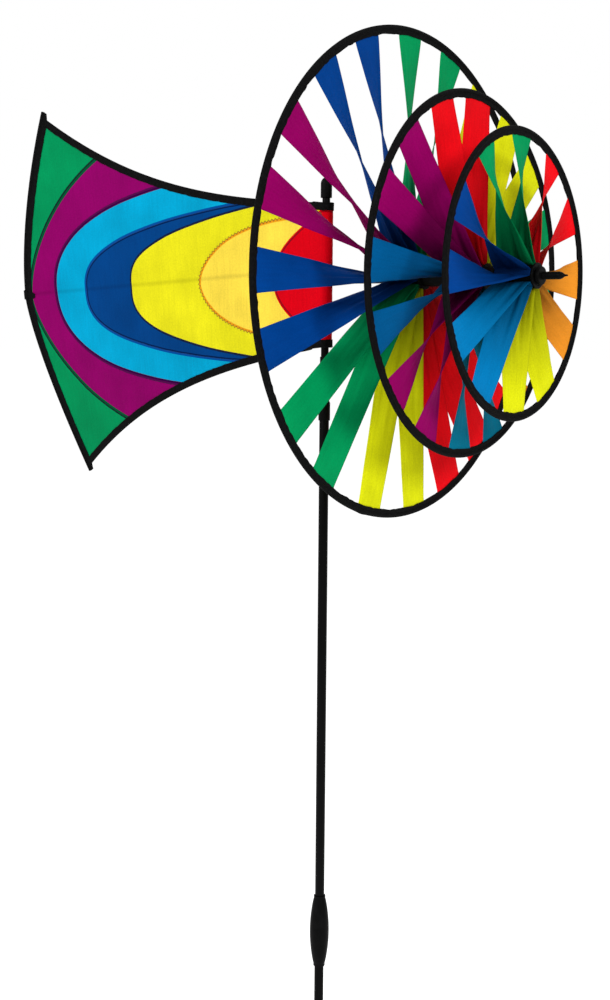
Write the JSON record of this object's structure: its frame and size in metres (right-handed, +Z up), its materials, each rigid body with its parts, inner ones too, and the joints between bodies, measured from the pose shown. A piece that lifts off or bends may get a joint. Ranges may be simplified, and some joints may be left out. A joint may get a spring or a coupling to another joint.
{
  "type": "wind spinner",
  "caption": "Garden wind spinner: coloured ribbon wheels on one axle, a fish-tail cloth vane that turns it into the wind, and a jointed pole on a ground stake.",
  "frame": {"origin": "on the pole's axis at ground level, at the underside of the ground stake's flange", "axes": "+Z up along the pole, +X along the axle towards the wheels and the wind, +Y to the left of the wheels as seen from behind them"},
  "size_m": [0.7604, 0.504, 1.767],
  "materials": {
    "black_plastic": "satin moulded black plastic",
    "black_rod": "smooth black glass-fibre rod",
    "black_tape": "black woven polyester binding tape",
    "steel": "bright drawn steel",
    "nylon": "natural white nylon",
    "tail_cloth": "ripstop polyester patchwork in green, purple, light blue, dark blue, yellow, gold and red",
    "purple_cloth": "purple woven polyester",
    "blue_cloth": "royal blue woven polyester",
    "azure_cloth": "light blue woven polyester",
    "green_cloth": "green woven polyester",
    "teal_cloth": "teal woven polyester",
    "yellow_cloth": "yellow woven polyester",
    "red_cloth": "red woven polyester",
    "orange_cloth": "orange woven polyester"
  },
  "bodies": {
    "stand": {"ground_stake": "black_plastic", "lower_pole": "black_rod", "pole_ferrule": "black_plastic", "upper_pole": "black_rod", "pivot_pin": "steel", "thrust_washer": "nylon"},
    "vane": {"mast_tube": "black_rod", "swivel_collar": "black_plastic", "mast_cap": "black_plastic", "axle_fitting": "black_plastic", "axle": "black_rod", "rear_spacer": "black_plastic", "middle_spacer": "black_plastic", "front_spacer": "black_plastic", "stop_collar": "black_plastic", "axle_nib": "black_plastic", "tail_cloth": "tail_cloth", "tail_bow_tape": "black_tape", "tail_bow_rod": "black_rod", "tail_top_tape": "black_tape", "tail_bottom_tape": "black_tape", "tail_spar": "black_rod", "spar_end_cap": "black_plastic"},
    "large_wheel": {"large_ring_rod": "black_rod", "large_ring_tape": "black_tape", "large_hub": "black_plastic", "large_ribbon_1": "purple_cloth", "large_ribbon_2": "blue_cloth", "large_ribbon_3": "green_cloth", "large_ribbon_4": "yellow_cloth", "large_ribbon_5": "red_cloth", "large_ribbon_6": "orange_cloth", "large_ribbon_7": "red_cloth", "large_ribbon_8": "yellow_cloth", "large_ribbon_9": "green_cloth", "large_ribbon_10": "blue_cloth"},
    "medium_wheel": {"medium_ring_rod": "black_rod", "medium_ring_tape": "black_tape", "medium_hub": "black_plastic", "medium_ribbon_1": "red_cloth", "medium_ribbon_2": "purple_cloth", "medium_ribbon_3": "azure_cloth", "medium_ribbon_4": "purple_cloth", "medium_ribbon_5": "teal_cloth", "medium_ribbon_6": "orange_cloth", "medium_ribbon_7": "green_cloth", "medium_ribbon_8": "yellow_cloth"},
    "small_wheel": {"small_ring_rod": "black_rod", "small_ring_tape": "black_tape", "small_hub": "black_plastic", "small_ribbon_1": "green_cloth", "small_ribbon_2": "blue_cloth", "small_ribbon_3": "azure_cloth", "small_ribbon_4": "yellow_cloth", "small_ribbon_5": "orange_cloth", "small_ribbon_6": "red_cloth"}
  },
  "joints": [
    {"name": "vane_yaw", "type": "hinge", "parent": "stand", "child": "vane", "pos_m": [0, 0, 1.325], "axis": [0, 0, 1], "continuous": true},
    {"name": "large_wheel_spin", "type": "hinge", "parent": "vane", "child": "large_wheel", "pos_m": [0.1047, 0, 1.325], "axis": [1, 0, 0], "continuous": true},
    {"name": "medium_wheel_spin", "type": "hinge", "parent": "vane", "child": "medium_wheel", "pos_m": [0.178, 0, 1.325], "axis": [1, 0, 0], "continuous": true},
    {"name": "small_wheel_spin", "type": "hinge", "parent": "vane", "child": "small_wheel", "pos_m": [0.2332, 0, 1.325], "axis": [1, 0, 0], "continuous": true}
  ]
}
